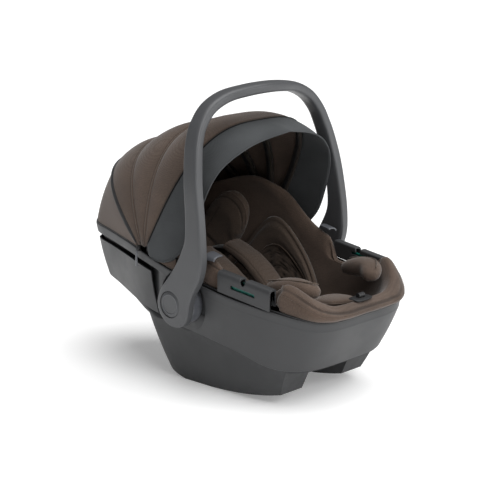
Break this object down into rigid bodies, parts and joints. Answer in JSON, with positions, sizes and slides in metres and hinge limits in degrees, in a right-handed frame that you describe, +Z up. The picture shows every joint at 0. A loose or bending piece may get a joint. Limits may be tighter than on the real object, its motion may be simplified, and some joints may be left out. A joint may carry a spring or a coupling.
{
  "type": "infant car seat",
  "caption": "Rear-facing infant carrier: moulded shell on rocker skids, padded bucket with harness and headrest, turning carry handle, folding canopy.",
  "frame": {"origin": "on the floor, under the middle of the seat's length and width", "axes": "+Z up, +Y towards the head end, -Y towards the feet, X across the seat"},
  "size_m": [0.4408, 0.7, 0.6005],
  "materials": {
    "shell_plastic": "satin dark grey moulded plastic with a fine grain",
    "tub_plastic": "matt charcoal moulded plastic, a little coarser",
    "black_plastic": "black moulded plastic",
    "light_plastic": "light blue-grey satin plastic",
    "teal_plastic": "teal green plastic",
    "brown_fabric": "brown melange woven polyester",
    "dark_fabric": "dark brown jersey over soft foam",
    "grey_fabric": "smooth grey coated fabric",
    "foam": "expanded polystyrene beads",
    "steel": "zinc plated steel",
    "webbing": "black woven polyester webbing"
  },
  "bodies": {
    "root": {"upper_shell": "shell_plastic", "rear_cover": "shell_plastic", "belt_guide_right": "shell_plastic", "belt_guide_left": "shell_plastic", "lower_tub": "tub_plastic", "belt_channel": "black_plastic", "canopy_bracket_right": "black_plastic", "canopy_bracket_left": "black_plastic", "buckle_body": "black_plastic", "cover_hook_right": "light_plastic", "cover_hook_left": "light_plastic", "hub_base_right": "light_plastic", "hub_base_left": "light_plastic", "zip_pull": "light_plastic", "adjuster_plate": "light_plastic", "guide_insert_right": "teal_plastic", "guide_insert_left": "teal_plastic", "seat_cover": "brown_fabric", "canopy_panel_rear": "brown_fabric", "crotch_pad": "brown_fabric", "leg_bolster_right": "brown_fabric", "leg_bolster_left": "brown_fabric", "newborn_insert": "dark_fabric", "shoulder_pad_right": "dark_fabric", "shoulder_pad_left": "dark_fabric", "foam_liner": "foam", "base_lock_bar_front": "steel", "base_lock_bar_rear": "steel", "handle_axle_right": "steel", "handle_axle_left": "steel", "canopy_pin_right": "steel", "canopy_pin_left": "steel", "buckle_tongue_right": "steel", "buckle_tongue_left": "steel", "shoulder_strap_right": "webbing", "shoulder_strap_left": "webbing", "lap_strap_right": "webbing", "lap_strap_left": "webbing", "crotch_strap": "webbing"},
    "handle": {"handle_bow": "shell_plastic", "button_spring_right": "steel", "button_spring_left": "steel"},
    "handle_button_right": {"handle_button_right": "shell_plastic"},
    "handle_button_left": {"handle_button_left": "shell_plastic"},
    "canopy_zip": {"canopy_bow_zip": "black_plastic", "canopy_panel_zip": "brown_fabric"},
    "canopy_rear": {"canopy_bow_rear": "black_plastic", "canopy_panel_middle": "brown_fabric"},
    "canopy_middle": {"canopy_bow_middle": "black_plastic", "canopy_panel_front": "brown_fabric"},
    "canopy_front": {"canopy_bow_front": "black_plastic", "canopy_visor": "grey_fabric"},
    "headrest": {"headrest_pad": "dark_fabric", "headrest_board": "black_plastic"},
    "buckle_button": {"buckle_button": "black_plastic"},
    "adjuster_button": {"adjuster_button": "black_plastic"}
  },
  "joints": [
    {"name": "canopy_fold", "type": "hinge", "parent": "root", "child": "canopy_zip", "pos_m": [0, 0.081, 0.2584], "axis": [-1, 0, 0], "range_deg": [0, 21.6], "deforming": ["canopy_panel_rear"]},
    {"name": "canopy_fold_rear", "type": "hinge", "parent": "canopy_zip", "child": "canopy_rear", "pos_m": [0, 0.081, 0.2584], "axis": [-1, 0, 0], "range_deg": [0, 17.4], "deforming": ["canopy_panel_zip"]},
    {"name": "canopy_fold_middle", "type": "hinge", "parent": "canopy_rear", "child": "canopy_middle", "pos_m": [0, 0.081, 0.2584], "axis": [-1, 0, 0], "range_deg": [0, 16.7], "deforming": ["canopy_panel_middle"]},
    {"name": "canopy_fold_front", "type": "hinge", "parent": "canopy_middle", "child": "canopy_front", "pos_m": [0, 0.081, 0.2584], "axis": [-1, 0, 0], "range_deg": [0, 14.2], "deforming": ["canopy_panel_front"]},
    {"name": "handle_turn", "type": "hinge", "parent": "root", "child": "handle", "pos_m": [0, -0.0273, 0.1843], "axis": [-1, 0, 0], "range_deg": [0, 110]},
    {"name": "handle_press_right", "type": "slide", "parent": "handle", "child": "handle_button_right", "axis": [-1, 0, 0], "range_m": [0, 0.0036], "stiffness_N_per_m": 900, "deforming": ["button_spring_right"]},
    {"name": "handle_press_left", "type": "slide", "parent": "handle", "child": "handle_button_left", "axis": [1, 0, 0], "range_m": [0, 0.0036], "stiffness_N_per_m": 900, "deforming": ["button_spring_left"]},
    {"name": "headrest_slide", "type": "slide", "parent": "root", "child": "headrest", "axis": [0, 0.853, 0.5219], "range_m": [0, 0.045]},
    {"name": "buckle_press", "type": "slide", "parent": "root", "child": "buckle_button", "axis": [0, 0, -1], "range_m": [0, 0.0022], "stiffness_N_per_m": 900},
    {"name": "adjuster_press", "type": "slide", "parent": "root", "child": "adjuster_button", "axis": [0, 0, -1], "range_m": [0, 0.002], "stiffness_N_per_m": 900}
  ],
  "couplings": [
    {"joint": "canopy_fold_rear", "follows": "canopy_fold", "ratio": 0.8009},
    {"joint": "canopy_fold_middle", "follows": "canopy_fold", "ratio": 0.7685},
    {"joint": "canopy_fold_front", "follows": "canopy_fold", "ratio": 0.6528}
  ]
}
